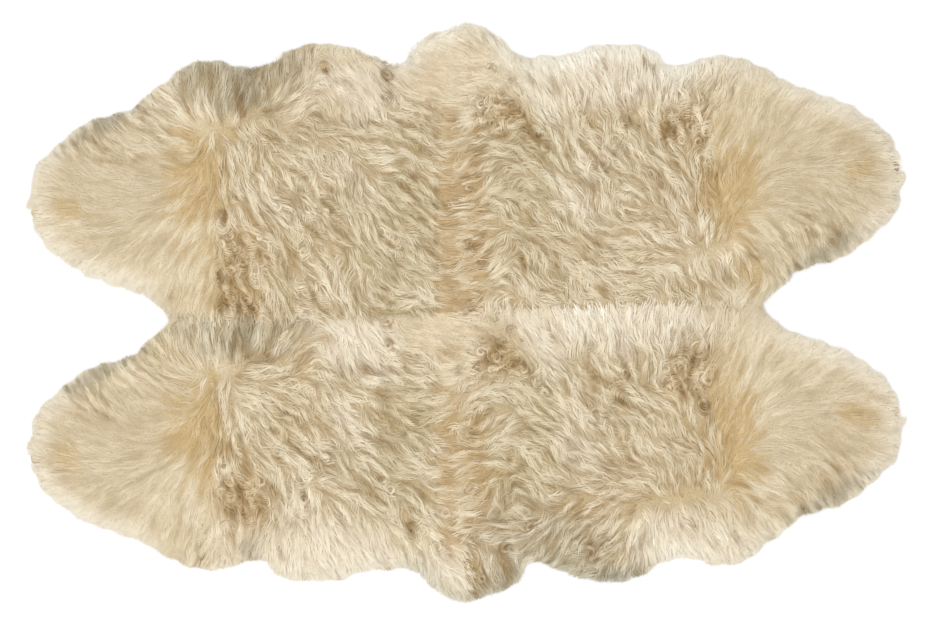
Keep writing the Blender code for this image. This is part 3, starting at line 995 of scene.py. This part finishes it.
def strand_tints(path, reached, fields, tone, valley, wool, rng):
    """Strands are darker at the root and in the valleys between locks, as painted shade, and lighter
    near the rim, as painted light.
    """
    own_tint = sample(fields.colour, path[:, path.shape[1] // 2])[:, None]
    tint = 0.7 * own_tint + 0.3 * sample(fields.colour, path)
    streak = np.clip(sample(fields.streak, path), -2.8, 1.2)
    edge = 1 - smoothstep(0.004, 0.045, sample(RIM_REACH, path))
    lit = np.maximum(smoothstep(0.0, 0.75, reached), 0.6 * edge)
    rough = roughness(path, fields, wool)
    # Painted shade: strands are darker towards the root, less so where the wool lies well combed.
    root_shade = (1 - wool.root_light) * np.minimum(rough, 1.0)
    bright = 1 - root_shade + (root_shade + 0.02) * lit
    # Painted shade in the valleys between locks, fading near the rim.
    bright = bright * (1 - valley[:, None] * (1 - 0.5 * reached) * (1 - 0.7 * edge))
    bright = bright * (1 + wool.streak * rough * streak) * tone[:, None]
    # Painted light: the wool is lighter near the rim, where its painted shade also fades.
    bright = bright * (1 + 0.06 * edge)
    tint = tint * bright[..., None] ** WARM_SHADE
    # Paler tips and light streaks: partly the wool's own paler tips, partly painted highlight.
    pale = 0.35 * smoothstep(0.3, 1.0, reached) * smoothstep(-1.0, 1.2, streak)
    tint = mixed(tint, shade("pale"), pale)
    # The painted shade at the root and in the dark streaks takes the root colour.
    deep = 1.2 * root_shade * (1 - lit) * (1 - edge)
    deep = deep + 2.2 * wool.streak * rough * np.maximum(-streak, 0)
    tint = mixed(tint, shade("root") * bright[..., None], np.clip(deep, 0, 0.8))
    # Painted shade in the creases between the locks, in brown.
    spot = 1.6 * sample(fields.spot, path) * rng.uniform(0.2, 1.0, len(path))[:, None]
    tint = mixed(tint, shade("brown"), np.clip(spot, 0, 0.95))
    return np.clip(tint, 0.0, 0.97)


def add_wool(pelt, wool, fields, wavy_share, rng):
    """One pelt's strands of one kind of wool, as a piece."""
    lock_root = scattered(rng, wool.lock_step)
    near = sample(RIM_REACH, lock_root) > -LOCKS_BEYOND
    lock_root = lock_root[near & of_pelt(pelt, lock_root, rng)]
    course = traced(lock_root, fields, wool, rng)

    root = scattered(rng, wool.strand_step)
    root = root[of_pelt(pelt, root, rng, SEAM_MIX)]
    inside = sample(RIM_REACH, root) > STRANDS_INSIDE
    wavy = sample(wavy_share, root) > 0.5
    covered = from_nub(pelt, root) > NUB_CLEAR["strands"]
    root = root[inside & covered & (wavy == (wool is WAVY_WOOL))]
    count = len(root)
    lock = lock_of(root, lock_root, fields.flow, wool.lock_stretch)
    stray = rng.random(count) < STRAY_SHARE

    path, share, offset = strand_paths(pelt, root, lock, course, stray, wool, rng)
    reached = share / np.maximum(share[:, -1:], 1e-6)
    from_middle = leftward(sample(fields.flow, root), offset) / (0.6 * wool.lock_step)
    from_middle = np.clip(from_middle, -1.0, 1.0)
    lift = rng.normal(0, 0.6 * wool.crest, len(lock_root))[lock]
    lift += rng.normal(0, 0.0008, count) + wool.crest * (1 - from_middle**2)
    lift += np.where(stray, 0.002, 0.0)
    height = strand_heights(path, reached, wool.depth, lift)
    rough = roughness(root, fields, wool)
    roll = wool.roll * from_middle + rng.normal(0, wool.roll_spread, count)
    roll = np.radians(roll * np.minimum(rough, 1.0))
    width = wool.width * rng.uniform(0.7, 1.15, count) * np.where(stray, 0.6, 1.0)
    tone = 1 + rough * rng.normal(0.0, wool.lock_tone, len(lock_root))[lock]
    tone *= 1 + rough * rng.normal(0.0, wool.tone, count) + np.where(stray, 0.05, 0.0)
    # Painted shade on the sides of each lock, darker away from its middle.
    valley = wool.valley * rough * from_middle**2
    tint = strand_tints(path, reached, fields, tone, valley, wool, rng)
    name = f"{pelt.node}_{wool.name}_wool"
    return add_strands(name, path, height, roll, wool.own, width, tint)


def ringlet_paths(pelt, rng):
    """Strands that wind round the middles of the open curls, and each one's side."""
    paths = []
    sides = []
    share = np.linspace(0, 1, RINGLET_STEPS + 1)
    for ringlet in rows_for(pelt, RINGLETS):
        places, turned = places_on(pelt, ringlet.pelts, ringlet.x, ringlet.y)
        for place in places:
            side = rng.uniform(-1, 1, (RINGLET_STRANDS, 1))
            begin = ringlet.start + 180 * turned + rng.normal(0, 38, (RINGLET_STRANDS, 1))
            turn = ringlet.turn * rng.uniform(0.55, 1.0, (RINGLET_STRANDS, 1))
            reach = ringlet.reach * PX * (1 - 0.7 * share) * (1 + 0.5 * side * (1 - 0.4 * share))
            around = pointing(np.radians(begin + turn * share))
            squash_way = pointing(begin[0, 0])
            squash = rng.uniform(0.1, 0.4)
            along = (around * squash_way).sum(axis=2, keepdims=True)
            paths.append(place + reach[..., None] * (around - squash * along * squash_way))
            sides.append(side[:, 0])
    return np.concatenate(paths), np.concatenate(sides)


def add_ringlets(pelt, fields, rng):
    """The open curls, which lie on top of the other wool."""
    path, beside = ringlet_paths(pelt, rng)
    count = len(path)
    reached = np.tile(np.linspace(0, 1, RINGLET_STEPS + 1), (count, 1))
    lift = RINGLET_LIFT + 0.0014 * (1 - beside**2) + rng.normal(0, 0.0005, count)
    height = strand_heights(path, reached**0.5, RINGLET_DEPTH, lift)
    roll = np.radians(RINGLET_ROLL * beside + rng.normal(0, WAVY_WOOL.roll_spread, count))
    width = RINGLET_WIDTH * rng.uniform(0.7, 1.15, count)
    tone = rng.normal(0.99, 0.10, count)
    # The curls get less of the painted crease shade, and painted shade on their sides.
    fields = fields._replace(spot=0.35 * fields.spot)
    tint = strand_tints(path, reached, fields, tone, 0.38 * beside**2, WAVY_WOOL, rng)
    name = f"{pelt.node}_ringlets"
    return add_strands(name, path, height, roll, WAVY_WOOL.own, width, tint)


def add_fringe(pelt, fields, rng):
    """Fine hair that stands a little beyond the rim and softens it."""
    root = scattered(rng, FRINGE_STEP)
    root = root[of_pelt(pelt, root, rng)]
    here = sample(EASED_REACH, root)
    kept = (here > 0.001) & (here < FRINGE_DEPTH) & (from_nub(pelt, root) > NUB_CLEAR["fringe"])
    root = root[kept]
    here = here[kept]
    count = len(root)
    out = sample(OUTWARD, root)
    way = sample(fields.flow, root) + 0.6 * out
    angle = np.arctan2(way[:, 1], way[:, 0]) + np.radians(rng.normal(0, 22, count))
    turn = np.radians(rng.normal(0, 35, count))
    beyond = rng.uniform(0.0, FRINGE_BEYOND, count)
    facing = (pointing(angle) * out).sum(axis=1)
    length = np.minimum((here + beyond) / np.maximum(facing, RIM_FACING), FRINGE_LENGTH)
    reached = np.tile(np.linspace(0, 1, 4), (count, 1))
    steps = pointing(angle[:, None] + turn[:, None] * reached) * (length / 3)[:, None, None]
    path = root[:, None] + np.cumsum(steps, axis=1) - steps[:, :1]
    lift = rng.uniform(-0.002, 0.004, count)
    height = strand_heights(path, reached, SMOOTH_WOOL.depth, lift)
    roll = rng.uniform(-1.2, 1.2, count)
    tone = rng.normal(0.97, 0.05, count)
    tint = strand_tints(path, reached, fields, tone, np.zeros(count), SMOOTH_WOOL, rng)
    width = np.full(count, FRINGE_WIDTH)
    return add_strands(f"{pelt.node}_fringe", path, height, roll, 0.3, width, tint)


# ---------------------------------------------------------------- undercoat and hide
def turned_area(loop):
    """The area inside a loop, above zero where it runs against the clock."""
    following = np.roll(loop, -1, axis=0)
    return 0.5 * np.sum(loop[:, 0] * following[:, 1] - following[:, 0] * loop[:, 1])


def layer_outline(pelt, edge):
    """The pelt's outline without its locks, drawn in from the rim."""
    loop = evenly(bottom_loop(pelt.node), OUTLINE_STEP)
    seam = on_seam(loop)
    smooth = np.zeros_like(loop)
    for step, weight in zip(range(-12, 13), bell(12, 5.0)):
        smooth += weight * np.roll(loop, step, axis=0)
    ahead = unit(np.roll(smooth, -2, axis=0) - np.roll(smooth, 2, axis=0))
    inward = np.column_stack([-ahead[:, 1], ahead[:, 0]]) * math.copysign(1, turned_area(loop))
    near_nub = np.exp(-((from_nub(pelt, loop) / NUB_REACH) ** 4))
    inset = edge.inset + edge.at_nub * near_nub
    smooth += inset[:, None] * inward
    for _ in range(6):
        short = np.maximum(inset - sample(RIM_REACH, smooth), 0)
        smooth -= sample(OUTWARD, smooth) * short[:, None]
    smooth[seam] = loop[seam] - edge.off_seam * inward[seam]
    reach = sample(RIM_REACH, smooth)
    own_side = of_pelt(pelt, smooth, np.random.default_rng(0))
    kept = np.where(seam, reach > edge.inset, (reach > 0.7 * inset) & own_side)
    outline = []
    for point in smooth[kept]:
        if not outline or np.hypot(*(point - outline[-1])) > 0.0035:
            outline.append(point)
    return np.array(outline)


def inside_loop(loop, points):
    """Whether each point is inside the closed loop."""
    x, y = points.T
    inside = np.zeros(len(points), bool)
    for (ax, ay), (bx, by) in zip(loop, np.roll(loop, -1, axis=0)):
        if ay != by:
            crosses = (ay > y) != (by > y)
            inside ^= crosses & (x < (bx - ax) * (y - ay) / (by - ay) + ax)
    return inside


def slab(name, loop, inner, top_of, bottom):
    """A closed mesh over the loop: a top at heights, a flat bottom and a rim."""
    points = [Vector(point) for point in np.vstack([loop, inner])]
    rim = [(i, (i + 1) % len(loop)) for i in range(len(loop))]
    flat, _, faces, _, _, _ = delaunay_2d_cdt(points, rim, [], 1, 1e-6)
    flat = np.array([tuple(point) for point in flat])
    heights = top_of(flat)
    corners = {i for face in faces for i in face}
    shape = bmesh.new()
    top = {i: shape.verts.new((flat[i, 0], flat[i, 1], heights[i])) for i in corners}
    low = {i: shape.verts.new((flat[i, 0], flat[i, 1], bottom)) for i in corners}
    edges = set()
    for face in faces:
        shape.faces.new([top[i] for i in face]).smooth = True
        shape.faces.new([low[i] for i in reversed(face)])
        edges.update(zip(face, face[1:] + face[:1]))
    for start, end in edges:
        if (end, start) not in edges:
            shape.faces.new((top[end], top[start], low[start], low[end]))
    mesh = bpy.data.meshes.new(name)
    shape.to_mesh(mesh)
    shape.free()
    return mesh


def add_undercoat(pelt, fields, rng):
    """The dense short wool below the locks, seen only in the gaps."""
    loop = layer_outline(pelt, UNDERCOAT_EDGE)
    loop_tree = tree_of(loop)
    inner = scattered(rng, UNDERCOAT_STEP, 0.25)
    inner = inner[inside_loop(loop, inner)]
    inner = inner[[loop_tree.find((x, y, 0))[2] > 0.005 for x, y in inner]]
    top = TOP - 0.001 * cloudy(rng, 0.016)
    wavy = blurred(smoothstep(0.4, 0.7, fields.wave + WAVY_BOOST), 2)

    def top_of(points):
        drop = UNDERCOAT_DROP[0] + sample(wavy, points) * (UNDERCOAT_DROP[1] - UNDERCOAT_DROP[0])
        return np.maximum(sample(top, points) - drop, 0.003)

    mesh = slab("undercoat", loop, inner, top_of, HIDE_TOP)
    places = np.array([vertex.co for vertex in mesh.vertices])
    # Painted shade: the undercoat darkens in the creases, inland from the rim and most under wavy
    # wool, towards the root colour.
    tint = sample(fields.colour, places) * (1 - 0.3 * sample(fields.spot, places))[:, None]
    inland = smoothstep(0.004, 0.040, sample(RIM_REACH, places))[:, None]
    darker = 0.34 * sample(wavy, places)[:, None] * inland
    add_tint(mesh, tint * (1.0 - 0.08 * inland - darker) + shade("root") * darker)
    piece = add_piece(f"{pelt.node}_undercoat", mesh, wool_undercoat)
    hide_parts(pelt.node)
    return piece


def add_hide(pelt):
    """The tanned skin that carries the wool, a flat sheet on the floor."""
    loop = layer_outline(pelt, HIDE_EDGE)
    mesh = slab("hide", loop, np.zeros((0, 2)), lambda points: np.full(len(points), HIDE_TOP),
                HIDE_LIFT)
    piece = add_piece(f"{pelt.node}_hide", mesh, tanned_hide)
    return piece


# ---------------------------------------------------------------- seams
def thread_mesh(points):
    """A thin round thread along the points, closed at both ends."""
    ahead = unit(np.gradient(points, axis=0))
    beside = unit(np.cross(ahead, (0.0, 0.0, 1.0)))
    over = np.cross(beside, ahead)
    turn = pointing(2 * math.pi * np.arange(THREAD_SIDES) / THREAD_SIDES)
    rings = beside[:, None] * turn[:, :1] + over[:, None] * turn[:, 1:]
    corners = (points[:, None] + THREAD_RADIUS * rings).reshape(-1, 3)
    side = np.arange(THREAD_SIDES)
    following = np.roll(side, -1)
    ring = np.column_stack([side, following, following + THREAD_SIDES, side + THREAD_SIDES])
    faces = ring + THREAD_SIDES * np.arange(len(points) - 1)[:, None, None]
    ends = [side[::-1].tolist(), (side + len(corners) - THREAD_SIDES).tolist()]
    mesh = bpy.data.meshes.new("thread")
    mesh.from_pydata(corners.tolist(), [], faces.reshape(-1, 4).tolist() + ends)
    mesh.shade_smooth()
    return mesh


def add_seam(name, start, end):
    """Zigzag stitches over one seam, on the flesh side of the hides."""
    start = np.array(start)
    course = end - start
    length = np.hypot(*course)
    count = int(length / STITCH_STEP)
    ahead = course / length
    beside = np.array([-ahead[1], ahead[0]])
    run = np.linspace(0, length, count)[:, None]
    swing = np.where(np.arange(count) % 2, 1, -1)[:, None] * STITCH_REACH
    flat = start + ahead * run + beside * swing
    points = np.column_stack([flat, np.full(count, HIDE_LIFT / 2)])
    add_piece(name, thread_mesh(points), sewing_thread)


# ---------------------------------------------------------------- pieces and materials
Shader = namedtuple("Shader", "nodes links surface")


def add_piece(name, mesh, look):
    """An object of the rug, with the material that the look's function makes."""
    piece = bpy.data.objects.new(name, mesh)
    bpy.context.scene.collection.objects.link(piece)
    mesh.materials.append(material_of(look))
    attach(piece, "root")
    return piece


def material_of(look):
    """The material that is named after a look's function, which makes it once."""
    name = look.__name__.replace("_", " ")
    material = bpy.data.materials.get(name)
    if material is None:
        material = bpy.data.materials.new(name)
        material.use_nodes = True
        nodes = material.node_tree.nodes
        look(Shader(nodes, material.node_tree.links, nodes["Principled BSDF"]))
    return material


def set_values(node, values):
    for name, value in values.items():
        node.inputs[name].default_value = value


def noise(shader, scale, detail=3.0):
    """A noise over the object's own coordinates."""
    place = shader.nodes.new("ShaderNodeTexCoord")
    node = shader.nodes.new("ShaderNodeTexNoise")
    set_values(node, {"Scale": scale, "Detail": detail})
    shader.links.new(place.outputs["Object"], node.inputs["Vector"])
    return node.outputs["Fac"]


def ranged(shader, source, low, high):
    """A value that runs from low to high as the source runs from 0.3 to 0.7."""
    span = shader.nodes.new("ShaderNodeMapRange")
    set_values(span, {"From Min": 0.3, "From Max": 0.7, "To Min": low, "To Max": high})
    shader.links.new(source, span.inputs["Value"])
    return span.outputs["Result"]


def feed(shader, name, source):
    """Leads a value into the surface's input of that name."""
    shader.links.new(source, shader.surface.inputs[name])


def tinted(shader, scale, low, high):
    """The mesh's own tint, a little lighter and darker by a fine noise."""
    tint = shader.nodes.new("ShaderNodeAttribute")
    tint.attribute_name = "tint"
    mixer = shader.nodes.new("ShaderNodeVectorMath")
    mixer.operation = "SCALE"
    shader.links.new(tint.outputs["Color"], mixer.inputs[0])
    shader.links.new(ranged(shader, noise(shader, scale), low, high), mixer.inputs["Scale"])
    feed(shader, "Base Color", mixer.outputs["Vector"])


def bumped(shader, source, strength, distance):
    bump = shader.nodes.new("ShaderNodeBump")
    set_values(bump, {"Strength": strength, "Distance": distance})
    shader.links.new(source, bump.inputs["Height"])
    feed(shader, "Normal", bump.outputs["Normal"])


def wool_strands(shader):
    tinted(shader, 700.0, 0.94, 1.06)
    feed(shader, "Roughness", ranged(shader, noise(shader, 90.0), 0.50, 0.68))
    set_values(shader.surface, {"Specular IOR Level": 0.28, "Sheen Weight": 0.18,
                                "Sheen Roughness": 0.45})


def wool_undercoat(shader):
    tinted(shader, 320.0, 0.80, 1.18)
    bumped(shader, noise(shader, 460.0, 5.0), 0.8, 0.002)
    set_values(shader.surface, {"Roughness": 0.9, "Specular IOR Level": 0.1})


def tanned_hide(shader):
    ramp = shader.nodes.new("ShaderNodeValToRGB")
    dark, light = ramp.color_ramp.elements
    dark.position = 0.32
    dark.color = (*(linear(HIDE_COLOUR) * 0.78), 1)
    light.position = 0.68
    light.color = (*(linear(HIDE_COLOUR) * 1.08), 1)
    shader.links.new(noise(shader, 14.0, 6.0), ramp.inputs["Fac"])
    feed(shader, "Base Color", ramp.outputs["Color"])
    nap = noise(shader, 840.0, 4.0)
    bumped(shader, nap, 0.35, 0.0006)
    feed(shader, "Roughness", ranged(shader, nap, 0.78, 0.94))


def sewing_thread(shader):
    bumped(shader, noise(shader, 1500.0), 0.4, 0.0002)
    set_values(shader.surface, {"Base Color": (*linear(THREAD_COLOUR), 1), "Roughness": 0.6})


def studio_floor(shader):
    set_values(shader.surface, {"Base Color": (0.93, 0.93, 0.93, 1), "Roughness": 0.85,
                                "Specular IOR Level": 0.0})


# ---------------------------------------------------------------- the stage's pieces
def add_floor():
    mesh = bpy.data.meshes.new("floor")
    corners = [(x * FLOOR_REACH, y * FLOOR_REACH, 0)
               for x, y in ((-1, -1), (1, -1), (1, 1), (-1, 1))]
    mesh.from_pydata(corners, [], [(0, 1, 2, 3)])
    mesh.materials.append(material_of(studio_floor))
    floor = bpy.data.objects.new("floor", mesh)
    bpy.context.scene.collection.objects.link(floor)


def add_lights():
    world = bpy.data.worlds.new("studio")
    bpy.context.scene.world = world
    world.use_nodes = True
    set_values(world.node_tree.nodes["Background"],
               {"Color": (1.0, 1.0, 1.0, 1), "Strength": SKY_LIGHT})
    lamp = bpy.data.lights.new("softbox", "AREA")
    lamp.shape = "DISK"
    lamp.size = SOFTBOX_WIDTH
    lamp.energy = SOFTBOX_POWER
    softbox = bpy.data.objects.new("softbox", lamp)
    softbox.location = SOFTBOX_PLACE
    softbox.rotation_euler = (-softbox.location).to_track_quat("-Z", "Y").to_euler()
    bpy.context.scene.collection.objects.link(softbox)


def add_camera():
    """Straight above the rug and far away, so that nothing is foreshortened."""
    lens = bpy.data.cameras.new("camera")
    camera = bpy.data.objects.new("camera", lens)
    lens.sensor_width = SENSOR_WIDTH
    lens.lens = SENSOR_WIDTH * CAMERA_HEIGHT / PICTURE_WIDTH
    lens.clip_end = 5 * CAMERA_HEIGHT
    camera.location = (*from_photo(*CAMERA_PX), CAMERA_HEIGHT)
    bpy.context.scene.collection.objects.link(camera)
    bpy.context.scene.camera = camera


# ---------------------------------------------------------------- the rug
def add_pelt(pelt):
    rng = np.random.default_rng(pelt.seed)
    flow, wave = comb_fields(pelt, rng)
    streak = 0.95 * streaks(flow, rng, 0.0052, 0.020) + 0.5 * streaks(flow, rng, 0.015, 0.018)
    fields = Fields(flow, wave, curl_field(pelt), colour_field(pelt, streak, rng), streak,
                    spot_field(pelt, streak))
    kind = wave + 0.10 * cloudy(rng, 0.03) + WAVY_BOOST
    pieces = [
        add_wool(pelt, SMOOTH_WOOL, fields, kind, rng),
        add_wool(pelt, WAVY_WOOL, fields, kind, rng),
        add_fringe(pelt, fields, rng),
        add_undercoat(pelt, fields, rng),
        add_ringlets(pelt, fields, rng),
    ]
    add_hide(pelt)


def main():
    bpy.context.scene.view_settings.view_transform = "Standard"
    for pelt in PELTS:
        add_pelt(pelt)
    for name, (start, end) in SEAMS.items():
        add_seam(name, start, end)
    add_floor()
    add_lights()
    add_camera()


main()
